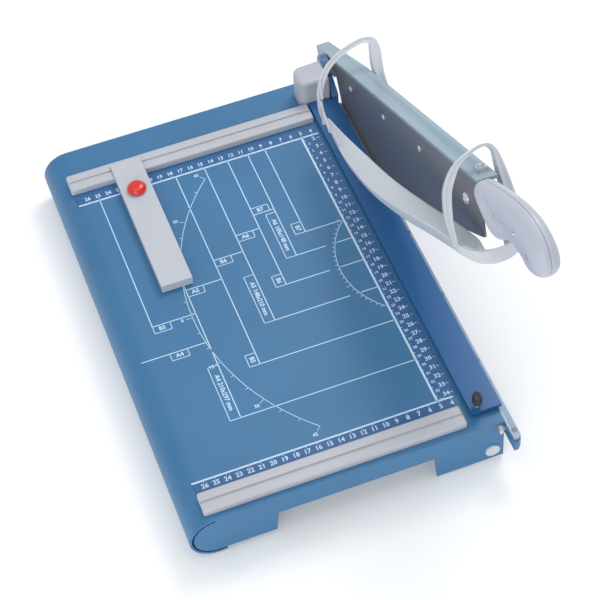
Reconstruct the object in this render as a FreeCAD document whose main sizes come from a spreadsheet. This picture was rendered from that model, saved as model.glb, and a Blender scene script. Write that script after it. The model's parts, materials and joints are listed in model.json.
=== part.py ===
import FreeCAD, Part
import math
import os
import re
import Sketcher
from FreeCAD import Placement, Rotation, Vector

# A guillotine paper cutter for A4 sheets: a folded steel table with two stop rails, a clamp bar,
# a hinged blade arm with its handle, a finger guard that follows the arm, and a sliding back stop.
#
# Table frame: X = 0 is the cutting edge, Y = 0 the working edge of the rear stop rail, Z = 0 the table top.
# Arm frame: the origin is above the pivot axis, -Y points along the arm to the handle, +Z is out of
# its flange.
# Both are moved into the row frame, whose origin is under the middle of the object at its feet.

SIZES = {
    # row frame
    "frame_x": 125.5, "frame_y": 171.6555, "frame_z": 50.0,
    # arm pivot and rest pose
    "arm_y": 48.0, "arm_z": 28.0, "raise_angle": 27.0, "pivot_drop": 8.0, "bolt_radius": 5.0, "play": 0.05,
    "pivot_y": 44.37, "pivot_z": 20.87,
    # folded table
    "gauge": 2.0, "table_rear": 55.0, "table_depth": 440.0, "table_right": 7.2, "roll_x": 263.0,
    "roll_radius": 24.0, "roll_gap": 1.8, "lip_width": 7.0, "side_drop": 30.0,
    "foot_inner_left": 212.0, "foot_inner_right": 68.0, "arch_left": 209.0, "arch_right": 70.0,
    "arch_height": 21.0, "skirt_height": 48.0, "tab_depth": 16.0, "left_foot_x": 238.0,
    "right_foot_x": 40.0, "foot_inset": 10.0, "foot_radius": 7.0, "foot_tab_half": 15.0,
    "plug_x": 17.6, "plug_z": 36.0, "plug_radius": 6.5, "plug_shank": 5.0, "plug_head": 1.6,
    # side rail and counter knife
    "rail_front": 406.0, "rail_rear": 16.0, "rail_height": 12.0, "rail_side": 0.4,
    "knife_height": 3.0, "knife_front": 404.5, "knife_rear": 14.0, "knife_width": 7.0,
    "end_chamfer": 3.0, "knife_screw_first": 396.0, "knife_screw_pitch": 78.0,
    "knife_screw_head": 2.6, "knife_screw_shank": 1.6, "knife_screw_length": 11.0,
    "side_bolt_pitch": 125.0, "side_bolt_first": 385.0, "side_bolt_z": 9.0,
    "knife_screw_count": 6.0, "side_bolt_count": 4.0, "side_bolt_head": 4.5, "side_bolt_shank": 2.5,
    "side_bolt_cap": 3.5, "rail_skin": 1.0,
    # stop rails
    "stop_width": 20.0, "stop_height": 6.5, "groove_near": 8.6, "groove_far": 11.8, "groove_depth": 2.2,
    "rear_stop_left": 272.0, "rear_stop_right": 32.5, "front_stop_y": 359.0,
    "front_stop_left": 270.0, "front_stop_right": 38.0, "stop_screw_radius": 2.0,
    "stop_screw_head": 4.0, "stop_screw_length": 6.0, "stop_screw_inset": 20.0, "stop_screw_count": 4.0,
    "stop_screw_offset": 5.0,
    # pivot bracket, bolt stack and cover
    "bracket_left": 7.2, "bracket_right": 1.2, "bracket_foot": 34.0, "bracket_front": 17.0,
    "bracket_rear": 58.0, "bracket_shoulder": 9.0, "bracket_round": 13.0,
    "bracket_bolt_z": 20.0, "bracket_bolt_front": 26.0, "bracket_bolt_rear": 45.0, "bolt_end": 3.0,
    "nut_left": 22.0, "nut_size": 8.0, "disc_left": 14.0, "disc_thickness": 3.4, "disc_radius": 7.5,
    "sleeve_radius": 7.5, "head_right": 11.0, "head_thickness": 6.0, "head_radius": 7.5,
    "cover_left": 38.0, "cover_right": 7.6, "cover_front": 20.0, "cover_rear": 47.0,
    "cover_height": 31.0, "cover_wall": 2.2, "cover_corner": 4.5, "cover_post": 2.4, "post_inset": 3.2,
    "post_front": 27.0, "post_rear": 42.0, "cover_screw": 1.6, "cover_screw_head": 3.2,
    "cover_screw_length": 10.0, "mouth_side": 1.5, "mouth_height": 10.0, "slot_floor": 12.8,
    # clamp bar, its pins and springs
    "clamp_left": 31.0, "clamp_right": 4.0, "clamp_front": 371.5, "clamp_rear": 16.0,
    "clamp_lift": 3.0, "clamp_thickness": 3.0, "tongue_right": 14.0, "tongue_rear": 38.0,
    "pin_x": 24.0, "pin_front": 366.0, "pin_rear": 28.5, "pin_radius": 2.0, "pin_hole": 2.3,
    "pin_top": 11.0, "pin_knob_radius": 4.5, "pin_knob_height": 14.0, "rear_knob_height": 4.0,
    "spring_radius": 3.4, "spring_wire": 0.45, "spring_turns": 6.0,
    "cup_radius": 5.0, "cup_wall": 0.8, "cup_bottom": 14.0,
    # blade arm
    "arm_rear": 33.0, "taper_front": 70.0, "flange_rear_width": 12.8,
    "arm_front": 396.0, "flange_top": 4.5, "flange_thickness": 3.0,
    "flange_width": 18.0, "web_left": 2.6, "web_thickness": 4.0, "web_bottom": 26.0, "web_rear": 14.0,
    "hub_radius": 12.0, "cheek_front": 12.0, "cheek_bottom": 12.5, "tang_front": 455.0, "tang_bottom": 20.0,
    "blade_thickness": 2.5, "blade_top": 1.2, "blade_rear": 19.5, "blade_front": 395.0,
    "heel_z": 45.5, "heel_bulge_y": 49.0, "heel_bulge_z": 70.5, "belly_y": 96.0, "belly_z": 80.5,
    "edge_bulge_y": 227.0, "edge_bulge_z": 73.5, "tip_y": 387.0, "tip_z": 48.0, "rivet_count": 3.0,
    "rivet_radius": 2.6, "rivet_first": 66.0, "rivet_pitch": 94.5, "rivet_z": 13.0, "rivet_proud": 0.6,
    "bush_radius": 7.0, "blade_screw_y": 361.0, "blade_screw_z": 22.5, "blade_screw_head": 5.2,
    "blade_screw_cap": 2.4, "blade_screw_shank": 3.0,
    "carrier_nut_y": 378.0, "carrier_nut_x": 11.0, "carrier_nut_flats": 8.0,
    "carrier_nut_height": 4.0, "carrier_stud": 2.5, "stud_cap": 3.0, "stud_end": 1.2,
    # handle
    "seam_x": 5.0, "shell_width": 15.0, "handle_round": 6.0, "handle_screw": 2.0,
    "handle_screw_head": 3.6, "handle_screw_inset": 4.0, "handle_screw_cap": 3.0,
    # guard
    "guard_wall": 2.0, "hoop_width": 8.0, "hoop_thickness": 3.0, "hoop_tilt": 20.0,
    "link_left": 7.8, "link_thickness": 2.0, "link_eye": 9.0, "link_reach": 89.0,
    "link_top": 4.0, "link_bottom": 14.0, "link_cross": 19.0, "link_cross_drop": 8.0,
    "guard_rivet": 1.8, "guard_rivet_length": 5.0,
    # back stop
    "slide_left": 230.0, "slide_right": 201.0, "slide_front": 143.0, "slide_rear": 15.0,
    "slide_bottom": 6.8, "slide_thickness": 2.2, "slide_wall": 2.0, "slide_gap": 0.5,
    "rib_near": 8.9, "rib_far": 11.5, "rib_bottom": 5.0, "knob_x": 215.5, "knob_y": 24.0,
    "knob_radius": 8.8, "knob_height": 6.5, "knob_base": 9.2,
    "knob_insert": 3.6, "knob_stud": 2.0, "dome_top": 4.8,
    "shoe_width": 18.0, "shoe_length": 30.0, "shoe_bottom": 0.6, "shoe_height": 5.8,
}

doc = FreeCAD.newDocument("guillotine_paper_cutter")
sheet = doc.addObject("Spreadsheet::Sheet", "dims")
for row, (alias, value) in enumerate(SIZES.items(), start=1):
    sheet.set(f"A{row}", alias)
    sheet.set(f"B{row}", str(value))
    sheet.setAlias(f"B{row}", alias)
doc.recompute()

sub_parts = []


def size(alias):
    return float(getattr(sheet, alias))


def formula(text):
    """An expression in which every size is read from the sheet."""
    return re.sub(r"[a-z][a-z_]*", lambda word: f"dims.{word.group()}" if word.group() in SIZES
                  else word.group(), str(text))


def bind(item, **formulas):
    for prop, text in formulas.items():
        item.setExpression(prop.replace("__", "."), formula(text))
    return item


def put(item, x, y, z):
    return bind(item, Placement__Base__x=x, Placement__Base__y=y, Placement__Base__z=z)


def box(name, x, y, z, length, width, height):
    item = doc.addObject("Part::Box", name)
    bind(item, Length=length, Width=width, Height=height)
    return put(item, x, y, z)


AXIS_TURN = {
    "X": Rotation(Vector(0, 1, 0), 90),
    "Y": Rotation(Vector(1, 0, 0), -90),
    "Z": Rotation(),
}


def rod(name, axis, x, y, z, radius, length):
    """A cylinder that starts at x, y, z and runs along the positive axis."""
    item = doc.addObject("Part::Cylinder", name)
    item.Placement = Placement(Vector(), AXIS_TURN[axis])
    bind(item, Radius=radius, Height=length)
    return put(item, x, y, z)


def hexagon(name, axis, x, y, z, radius, length):
    item = doc.addObject("Part::Prism", name)
    item.Polygon = 6
    item.Placement = Placement(Vector(), AXIS_TURN[axis])
    bind(item, Circumradius=radius, Height=length)
    return put(item, x, y, z)


def fuse(name, *items):
    item = doc.addObject("Part::MultiFuse", name)
    item.Shapes = list(items)
    item.Refine = True
    return item


def cut(name, base, *tools):
    item = doc.addObject("Part::Cut", name)
    item.Base = base
    item.Tool = tools[0] if len(tools) == 1 else fuse(f"{name}_tools", *tools)
    return item


def group(name, *items):
    item = doc.addObject("Part::Compound", name)
    item.Links = list(items)
    return item


def origin_plane(body, role):
    return next(plane for plane in body.Origin.OriginFeatures if plane.Role == role)


def profile_body(name, role, outline, offset, length):
    """A body padded from a closed outline of points; a point given as (x, y, bulge point) ends an arc."""
    body = doc.addObject("PartDesign::Body", name)
    sketch = body.newObject("Sketcher::SketchObject", f"{name}_outline")
    sketch.AttachmentSupport = (origin_plane(body, role), "")
    sketch.MapMode = "FlatFace"
    bind(sketch, AttachmentOffset__Base__z=offset)
    spots = [Vector(number(point[0]), number(point[1]), 0) for point in outline]
    for index, spot in enumerate(spots):
        target = outline[(index + 1) % len(outline)]
        following = spots[(index + 1) % len(spots)]
        if len(target) == 3:
            middle = Vector(number(target[2][0]), number(target[2][1]), 0)
            sketch.addGeometry(Part.Arc(spot, middle, following))
        else:
            sketch.addGeometry(Part.LineSegment(spot, following))
    for index in range(len(spots)):
        ends = end_vertex(sketch, index, spots), start_vertex(sketch, (index + 1) % len(spots), spots)
        sketch.addConstraint(Sketcher.Constraint("Coincident", *ends[0], *ends[1]))
    for index, point in enumerate(outline):
        vertex = start_vertex(sketch, index, spots)
        sides = (("DistanceX", point[0], spots[index].x), ("DistanceY", point[1], spots[index].y))
        for kind, text, value in sides:
            mark = sketch.addConstraint(Sketcher.Constraint(kind, -1, 1, *vertex, value))
            sketch.setExpression(f"Constraints[{mark}]", formula(text))
    pad = body.newObject("PartDesign::Pad", f"{name}_pad")
    pad.Profile = sketch
    bind(pad, Length=length)
    return body


def start_vertex(sketch, index, spots):
    return (index, 1) if sketch.getPoint(index, 1).distanceToPoint(spots[index]) < 1e-6 else (index, 2)


def end_vertex(sketch, index, spots):
    return (index, 3 - start_vertex(sketch, index, spots)[1])


def number(text):
    """The value of a formula in millimetres, for a point's starting place."""
    names = {alias: size(alias) for alias in SIZES if alias in str(text)}
    total = re.sub(r"[a-z][a-z_]*", lambda word: f"({names[word.group()]})", str(text))
    return float(FreeCAD.Units.Quantity(total.replace(" ", "")))


def table_frame():
    return Placement(Vector(size("frame_x"), size("frame_y"), size("frame_z")), Rotation())


def arm_frame():
    origin = Vector(0, size("arm_y"), size("arm_z"))
    tilt = Rotation(Vector(1, 0, 0), -size("raise_angle"))
    return table_frame().multiply(Placement(origin, tilt))


def node(label, frame, *items):
    """A finished sub-part: its solids as one object, with its file's name, in the row frame."""
    item = group(f"{label}_node", *items)
    item.Label = label
    item.Placement = frame
    sub_parts.append(item)
    return item


def shape_item(name, shape):
    item = doc.addObject("Part::Feature", name)
    item.Shape = shape
    return item


TABLE = table_frame()
ARM = arm_frame()


# ---------------------------------------------------------------- table and feet

def build_table():
    top = box("table_top", "-roll_x", "table_rear - table_depth", "-gauge",
              "roll_x - table_right", "table_depth", "gauge")
    roll_turn = Rotation(Vector(1, 0, 0), 90).multiply(Rotation(Vector(0, 0, 1), 90))
    walls = []
    for name, radius in (("roll_outside", "roll_radius"), ("roll_inside", "roll_radius - gauge")):
        wall = doc.addObject("Part::Cylinder", name)
        wall.Placement = Placement(Vector(), roll_turn)
        wall.Angle = 180
        bind(wall, Radius=radius, Height="table_depth")
        walls.append(put(wall, "-roll_x", "table_rear", "-roll_radius"))
    roll = cut("table_roll", *walls)
    lip = box("roll_lip", "-roll_x", "table_rear - table_depth", "-2 * roll_radius",
              "lip_width", "table_depth", "gauge")
    side = box("side_flange", "-table_right - gauge", "table_rear - table_depth", "-side_drop",
               "gauge", "table_depth", "side_drop")
    skirt = [
        ("-roll_x", "-gauge / 2"),
        ("-table_right", "-gauge / 2"),
        ("-table_right", "-skirt_height"),
        ("-foot_inner_right", "-skirt_height"),
        ("-arch_right", "-arch_height"),
        ("-arch_left", "-arch_height"),
        ("-foot_inner_left", "roll_gap + gauge - 2 * roll_radius"),
        ("-roll_x", "roll_gap + gauge - 2 * roll_radius"),
    ]
    front = profile_body("front_skirt", "XZ_Plane", skirt, "table_depth - table_rear - gauge", "gauge")
    rear = profile_body("rear_skirt", "XZ_Plane", skirt, "-table_rear", "gauge")
    cheek = rod("skirt_round", "Y", "-roll_x", "table_rear - table_depth", "-roll_radius",
                "roll_radius - gauge - roll_gap", "gauge")
    tabs = []
    for row, y in (("front", "table_rear - table_depth"), ("rear", "table_rear - tab_depth")):
        tabs.append(box(f"{row}_right_tab", "-right_foot_x - foot_tab_half", y, "-skirt_height",
                        "2 * foot_tab_half", "tab_depth", "gauge"))
        tabs.append(box(f"{row}_left_tab", "-left_foot_x - foot_tab_half", y,
                        "roll_gap + gauge - 2 * roll_radius", "2 * foot_tab_half", "tab_depth", "gauge"))
    return fuse("table_sheet", top, roll, lip, side, front, rear, cheek, *tabs)


def build_feet():
    feet = []
    left_top = "roll_gap + gauge - 2 * roll_radius"
    for row, y in (("front", "table_rear - table_depth + foot_inset"), ("rear", "table_rear - foot_inset")):
        feet.append(rod(f"{row}_right_foot", "Z", "-right_foot_x", y, "-frame_z",
                        "foot_radius", "frame_z - skirt_height"))
        feet.append(rod(f"{row}_left_foot", "Z", "-left_foot_x", y, "-frame_z",
                        "foot_radius", f"frame_z + {left_top}"))
    node("rubber_feet", TABLE, *feet)


def build_plug():
    shank = rod("plug_body", "Y", "-plug_x", "table_rear - table_depth", "-plug_z", "plug_shank", "gauge")
    head = rod("plug_flange", "Y", "-plug_x", "table_rear - table_depth - plug_head", "-plug_z",
               "plug_radius", "plug_head")
    plug = fuse("plug", shank, head)
    node("skirt_plug", TABLE, plug)
    return plug


# ---------------------------------------------------------------- side rail, counter knife, stop rails

def build_side_rail():
    rail_outline = [
        ("-knife_width - rail_side / 2", "rail_rear"),
        ("-rail_side", "rail_rear"),
        ("-rail_side", "end_chamfer - rail_front"),
        ("-rail_side - end_chamfer", "-rail_front"),
        ("-knife_width - rail_side / 2", "-rail_front"),
    ]
    knife_outline = [
        ("-knife_width", "knife_rear"),
        ("0", "knife_rear"),
        ("0", "end_chamfer - knife_front"),
        ("-end_chamfer", "-knife_front"),
        ("-knife_width", "-knife_front"),
    ]
    rail = profile_body("rail_bar", "XY_Plane", rail_outline, "-knife_height - rail_height", "rail_height")
    knife = profile_body("knife_bar", "XY_Plane", knife_outline, "-knife_height", "knife_height")
    screws = []
    for index in range(int(size("knife_screw_count"))):
        y = f"{index} * knife_screw_pitch - knife_screw_first"
        shank = rod(f"knife_screw_shank_{index}", "Z", "-knife_width / 2", y, "-knife_screw_length",
                    "knife_screw_shank", "knife_screw_length")
        head = doc.addObject("Part::Cone", f"knife_screw_head_{index}")
        bind(head, Radius1="knife_screw_shank", Radius2="knife_screw_head", Height="knife_height / 2")
        put(head, "-knife_width / 2", y, "-knife_height / 2")
        screws.append(fuse(f"knife_screw_{index}", shank, head))
    bolts = []
    for index in range(int(size("side_bolt_count"))):
        y = f"{index} * side_bolt_pitch - side_bolt_first"
        shank = rod(f"side_bolt_shank_{index}", "X", "-table_right - gauge", y, "-side_bolt_z",
                    "side_bolt_shank", "gauge + knife_width - rail_skin")
        head = hexagon(f"side_bolt_head_{index}", "X", "-table_right - gauge - side_bolt_cap", y,
                       "-side_bolt_z", "side_bolt_head", "side_bolt_cap")
        bolts.append(fuse(f"side_bolt_{index}", shank, head))
    node("side_rail", TABLE, cut("rail_drilled", rail, *screws, *bolts))
    node("counter_knife", TABLE, cut("knife_drilled", knife, *screws))
    node("counter_knife_screws", TABLE, *screws)
    node("side_rail_bolts", TABLE, *bolts)
    return bolts


def stop_profile(near, far_sign):
    """The stop rail's section, from its working edge outwards, with a guide groove along its top."""
    def across(distance):
        return f"{near} {far_sign} {distance}"
    return [
        (across("0"), "0"),
        (across("stop_width"), "0"),
        (across("stop_width"), "stop_height"),
        (across("groove_far"), "stop_height"),
        (across("groove_far"), "stop_height - groove_depth"),
        (across("groove_near"), "stop_height - groove_depth"),
        (across("groove_near"), "stop_height"),
        (across("0"), "stop_height"),
    ]


def build_stop_rail(row, near, far_sign, left, right):
    rail = profile_body(f"{row}_stop_bar", "YZ_Plane", stop_profile(near, far_sign), f"-{left}",
                        f"{left} - {right}")
    screws = []
    last = size("stop_screw_count") - 1
    for index in range(int(size("stop_screw_count"))):
        x = f"-{left} + stop_screw_inset + {index} / {last} * ({left} - {right} - 2 * stop_screw_inset)"
        y = f"{near} {far_sign} stop_screw_offset"
        shank = rod(f"{row}_stop_shank_{index}", "Z", x, y, "-gauge", "stop_screw_radius",
                    "stop_screw_length")
        head = rod(f"{row}_stop_head_{index}", "Z", x, y, "-gauge - stop_screw_radius", "stop_screw_head",
                   "stop_screw_radius")
        screws.append(fuse(f"{row}_stop_screw_{index}", shank, head))
    node(f"{row}_stop_rail", TABLE, cut(f"{row}_stop_drilled", rail, *screws))
    node(f"{row}_stop_screws", TABLE, *screws)
    return screws


# ---------------------------------------------------------------- pivot

def build_pivot():
    outline = [
        ("bracket_front", "-bracket_foot"),
        ("bracket_rear", "-bracket_foot"),
        ("pivot_y + bracket_round", "pivot_z"),
        ("pivot_y - bracket_round", "pivot_z", ("pivot_y", "pivot_z + bracket_round")),
        ("bracket_front", "bracket_shoulder"),
    ]
    plate = profile_body("bracket_plate", "YZ_Plane", outline, "-bracket_left",
                         "bracket_left - bracket_right")
    shaft = rod("pivot_shaft", "X", "-nut_left - bolt_end", "pivot_y", "pivot_z", "bolt_radius",
                "nut_left + bolt_end + head_right")
    head = hexagon("pivot_head", "X", "head_right", "pivot_y", "pivot_z", "head_radius", "head_thickness")
    bolt = fuse("pivot_bolt_solid", shaft, head)
    nut = cut("pivot_nut_solid", hexagon("pivot_nut_block", "X", "-nut_left", "pivot_y", "pivot_z",
                                         "head_radius", "nut_size"), shaft)
    disc = cut("disc_pack", rod("disc_block", "X", "-disc_left", "pivot_y", "pivot_z", "disc_radius",
                                "disc_thickness"), shaft)
    sleeve = cut("sleeve_ring", rod("sleeve_block", "X", "disc_thickness - disc_left", "pivot_y", "pivot_z",
                                    "sleeve_radius", "disc_left - disc_thickness - bracket_left"), shaft)
    washer = cut("thrust_ring", rod("thrust_block", "X", "-bracket_right", "pivot_y", "pivot_z",
                                    "disc_radius", "bracket_right + web_left - play"), shaft)
    bolts = []
    for index, y in enumerate(("bracket_bolt_front", "bracket_bolt_rear")):
        screw = rod(f"bracket_bolt_shank_{index}", "X", "-table_right - gauge", y, "-bracket_bolt_z",
                    "side_bolt_shank", "gauge + bracket_left - bracket_right")
        cap = hexagon(f"bracket_bolt_head_{index}", "X", "-table_right - gauge - side_bolt_cap", y,
                      "-bracket_bolt_z", "side_bolt_head", "side_bolt_cap")
        bolts.append(fuse(f"bracket_bolt_{index}", screw, cap))
    washers = []
    for name, left in (("inner", "web_left + web_thickness + play"),
                       ("outer", "link_left + link_thickness + play")):
        block = rod(f"{name}_washer_block", "X", left, "pivot_y", "pivot_z", "disc_radius",
                    "link_left - web_left - web_thickness - 2 * play")
        washers.append(cut(f"{name}_washer", block, shaft))
    node("pivot_washers", TABLE, *washers)
    node("pivot_bracket", TABLE, cut("bracket_drilled", plate, shaft, *bolts))
    node("bracket_bolts", TABLE, *bolts)
    node("pivot_bolt", TABLE, bolt)
    node("pivot_nut", TABLE, nut)
    node("pivot_disc_springs", TABLE, disc)
    node("pivot_sleeve", TABLE, sleeve)
    node("pivot_thrust_washer", TABLE, washer)
    return bolts


def build_cover():
    block = box("cover_block", "-cover_left", "cover_front", "0", "cover_left - cover_right",
                "cover_rear - cover_front", "cover_height")
    doc.recompute()
    rounded = doc.addObject("Part::Fillet", "cover_rounded")
    rounded.Base = block
    radius = size("cover_corner")
    kept = [index for index, edge in enumerate(block.Shape.Edges, start=1) if on_cover_outside(edge)]
    rounded.Edges = [(index, radius, radius) for index in kept]
    hollow = box("cover_hollow", "cover_wall - cover_left", "cover_front + cover_wall", "0",
                 "cover_left - cover_right", "cover_rear - cover_front - 2 * cover_wall",
                 "cover_height - cover_wall")
    mouth = box("cover_mouth", "-clamp_left - mouth_side", "cover_front", "0", "cover_left",
                "cover_wall", "mouth_height")
    slot = box("cover_slot", "-nut_left - 2 * bolt_end", "cover_rear - cover_wall", "slot_floor",
               "cover_left", "cover_wall", "cover_height")
    shell = cut("cover_open", rounded, hollow, mouth, slot)
    posts = []
    screws = []
    for index, y in enumerate(("post_front", "post_rear")):
        x = "post_inset - cover_left"
        posts.append(rod(f"cover_post_{index}", "Z", x, y, "0", "cover_post", "cover_height - cover_wall"))
        shank = rod(f"cover_screw_shank_{index}", "Z", x, y, "-gauge", "cover_screw",
                    "cover_screw_length")
        head = rod(f"cover_screw_cap_{index}", "Z", x, y, "-gauge - cover_screw", "cover_screw_head",
                   "cover_screw")
        screws.append(fuse(f"cover_screw_{index}", shank, head))
    node("pivot_cover", TABLE, cut("cover_drilled", fuse("cover_body", shell, *posts), *screws))
    node("cover_screws", TABLE, *screws)
    return screws


def on_cover_outside(edge):
    """The cover's left upright edges and its top edges, all but the one beside the bracket."""
    middle = edge.BoundBox.Center
    beside_bracket = abs(middle.x + size("cover_right")) < 1e-6
    return middle.z > 1e-6 and not beside_bracket


# ---------------------------------------------------------------- clamp bar, pins and springs

def build_clamp():
    bar = box("clamp_strip", "-clamp_left", "-clamp_front", "clamp_lift", "clamp_left - clamp_right",
              "clamp_front + clamp_rear", "clamp_thickness")
    tongue = box("clamp_tongue", "-clamp_left", "clamp_rear", "clamp_lift", "clamp_left - tongue_right",
                 "tongue_rear - clamp_rear", "clamp_thickness")
    spots = (("front", "-pin_front", "pin_knob_height"), ("rear", "pin_rear", "rear_knob_height"))
    holes, pins, knobs, cups, table_holes = [], [], [], [], []
    for row, y, knob_height in spots:
        holes.append(rod(f"{row}_pin_hole", "Z", "-pin_x", y, "0", "pin_hole", "4 * clamp_thickness"))
        pins.append(rod(f"{row}_pin", "Z", "-pin_x", y, "-cup_bottom", "pin_radius", "cup_bottom + pin_top"))
        knobs.append(rod(f"{row}_knob", "Z", "-pin_x", y, "pin_top", "pin_knob_radius", knob_height))
        rim = rod(f"{row}_cup_outside", "Z", "-pin_x", y, "-cup_bottom - cup_wall", "cup_radius",
                  "cup_bottom + cup_wall - gauge")
        bore = rod(f"{row}_cup_bore", "Z", "-pin_x", y, "-cup_bottom", "cup_radius - cup_wall",
                   "cup_bottom + gauge")
        cups.append(cut(f"{row}_cup", rim, bore))
        table_holes.append(bore)
        helix = doc.addObject("Part::Helix", f"{row}_spring_line")
        bind(helix, Radius="spring_radius", Height="cup_bottom + clamp_lift - 2 * spring_wire",
             Pitch="(cup_bottom + clamp_lift - 2 * spring_wire) / spring_turns")
        wire = doc.addObject("Part::Circle", f"{row}_spring_wire")
        wire.Placement = Placement(Vector(size("spring_radius"), 0, 0), Rotation(Vector(1, 0, 0), 90))
        bind(wire, Radius="spring_wire")
        coil = doc.addObject("Part::Sweep", f"{row}_spring_coil")
        coil.Sections = [wire]
        coil.Spine = (helix, ["Edge1"])
        coil.Solid = True
        coil.Frenet = True
        put(coil, "-pin_x", y, "spring_wire - cup_bottom")
        node(f"clamp_spring_{row}", TABLE, coil)
    node("clamp_bar", TABLE, cut("clamp_drilled", fuse("clamp_blank", bar, tongue), *holes))
    node("clamp_guide_pins", TABLE, *pins)
    node("clamp_pin_knobs", TABLE, *knobs)
    node("clamp_spring_cups", TABLE, *cups)
    return table_holes


# ---------------------------------------------------------------- blade arm

def build_arm():
    flange_outline = [
        ("play", "-arm_front"),
        ("flange_width", "-arm_front"),
        ("flange_width", "-taper_front"),
        ("flange_rear_width", "arm_rear"),
        ("play", "arm_rear"),
    ]
    flange = profile_body("flange", "XY_Plane", flange_outline, "flange_top - flange_thickness",
                          "flange_thickness")
    web = box("web", "web_left", "-arm_front", "-web_bottom", "web_thickness",
              "arm_front - web_rear", "web_bottom + flange_top - flange_thickness")
    hub = rod("web_hub", "X", "web_left", "0", "-pivot_drop", "hub_radius", "web_thickness")
    tail = box("web_tail", "web_left", "-web_rear", "-cheek_bottom", "web_thickness", "arm_rear + web_rear",
               "cheek_bottom + flange_top - flange_thickness")
    cheek = box("rear_cheek", "play", "cheek_front", "-cheek_bottom", "web_left - play",
                "arm_rear - cheek_front", "cheek_bottom + flange_top - flange_thickness")
    tang = box("handle_tang", "web_left", "-tang_front", "-tang_bottom", "web_thickness",
               "tang_front - arm_front", "tang_bottom")
    rivets = []
    for index in range(int(size("rivet_count"))):
        y = f"-rivet_first - {index} * rivet_pitch"
        rivets.append(rod(f"blade_rivet_{index}", "X", "-rivet_proud", y, "-rivet_z", "rivet_radius",
                          "web_left + web_thickness + 2 * rivet_proud"))
    screw_shank = rod("blade_screw_shank_rod", "X", "0", "-blade_screw_y", "-blade_screw_z",
                      "blade_screw_shank", "web_left + web_thickness")
    screw_head = rod("blade_screw_cap", "X", "-blade_screw_cap", "-blade_screw_y", "-blade_screw_z",
                     "blade_screw_head", "blade_screw_cap + play")
    screw = fuse("blade_screw_solid", screw_shank, screw_head)
    stud = rod("carrier_stud_rod", "Z", "carrier_nut_x", "-carrier_nut_y",
               "flange_top - flange_thickness - stud_cap", "carrier_stud",
               "stud_cap + flange_thickness + carrier_nut_height + stud_end")
    stud_head = rod("carrier_stud_cap", "Z", "carrier_nut_x", "-carrier_nut_y",
                    "flange_top - flange_thickness - stud_cap", "1.6 * carrier_stud", "stud_cap - play")
    nut = hexagon("carrier_nut_block", "Z", "carrier_nut_x", "-carrier_nut_y", "flange_top",
                  "carrier_nut_flats / 1.732", "carrier_nut_height")
    bush = rod("bush_block", "X", "web_left", "0", "-pivot_drop", "bush_radius", "web_thickness")
    bush_bore = rod("bush_bore", "X", "web_left", "0", "-pivot_drop", "bolt_radius + play", "web_thickness")
    carrier = fuse("carrier_blank", flange, web, hub, tail, cheek, tang)
    blade_outline = [
        ("-blade_rear", "blade_top"),
        ("-blade_rear", "-heel_z"),
        ("-belly_y", "-belly_z", ("-heel_bulge_y", "-heel_bulge_z")),
        ("-tip_y", "-tip_z", ("-edge_bulge_y", "-edge_bulge_z")),
        ("-blade_front", "blade_top"),
    ]
    blade = profile_body("blade_blank", "YZ_Plane", blade_outline, "play", "blade_thickness")
    handle_screws = build_handle(tang)
    node("knife_carrier", ARM, cut("carrier_drilled", carrier, *rivets, screw, stud, bush, *handle_screws))
    node("upper_blade", ARM, cut("blade_drilled", blade, *rivets, screw))
    node("blade_rivets", ARM, *rivets)
    node("blade_screw", ARM, screw)
    node("carrier_stud", ARM, fuse("carrier_stud_solid", stud, stud_head))
    node("carrier_nut", ARM, cut("carrier_nut_solid", nut, stud))
    node("pivot_bush", ARM, cut("bush_ring", bush, bush_bore))


HANDLE_OUTLINE = [
    # from the root's top, over the grip to its rounded end, back under it, and round the front leg
    (-403.0, 9.0),
    (-437.0, 12.5),
    (-470.0, 9.0),
    (-498.0, -2.0),
    (-510.0, -18.0),
    (-510.0, -36.0),
    (-500.0, -46.0),
    (-486.0, -44.0),
    (-472.0, -37.0),
    (-450.0, -26.0),
    (-424.0, -33.5),
    (-407.0, -14.0),
]
HANDLE_SCREWS = [(-438.0, -10.0), (-476.0, -12.0)]


def build_handle(tang):
    left_edge = "seam_x - shell_width"
    shells = []
    for side, offset in (("left", left_edge), ("right", "seam_x")):
        body = profile_body(f"handle_{side}_blank", "YZ_Plane", HANDLE_OUTLINE, offset, "shell_width")
        doc.recompute()
        outside = size("seam_x") + size("shell_width") * (-1 if side == "left" else 1)
        rim = [f"Edge{index}" for index, edge in enumerate(body.Shape.Edges, start=1)
               if abs(edge.BoundBox.XMin - outside) < 1e-3 and abs(edge.BoundBox.XMax - outside) < 1e-3]
        pad = body.Tip
        fillet = body.newObject("PartDesign::Fillet", f"handle_{side}_round")
        fillet.Base = (pad, rim)
        bind(fillet, Radius="handle_round")
        body.Tip = fillet
        shells.append(body)
    screws = []
    for index, (y, z) in enumerate(HANDLE_SCREWS):
        shank = rod(f"handle_screw_shank_{index}", "X", "seam_x - shell_width + handle_screw_inset", y, z,
                    "handle_screw", "2 * (shell_width - handle_screw_inset)")
        head = rod(f"handle_screw_cap_{index}", "X", "seam_x + shell_width - handle_screw_inset", y, z,
                   "handle_screw_head", "handle_screw_cap")
        screws.append(fuse(f"handle_screw_{index}", shank, head))
    node("handle_left_shell", ARM, cut("handle_left_bored", shells[0], tang, *screws))
    node("handle_right_shell", ARM, cut("handle_right_bored", shells[1], tang, *screws))
    node("handle_screws", ARM, *screws)
    return screws


# ---------------------------------------------------------------- guard

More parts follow.
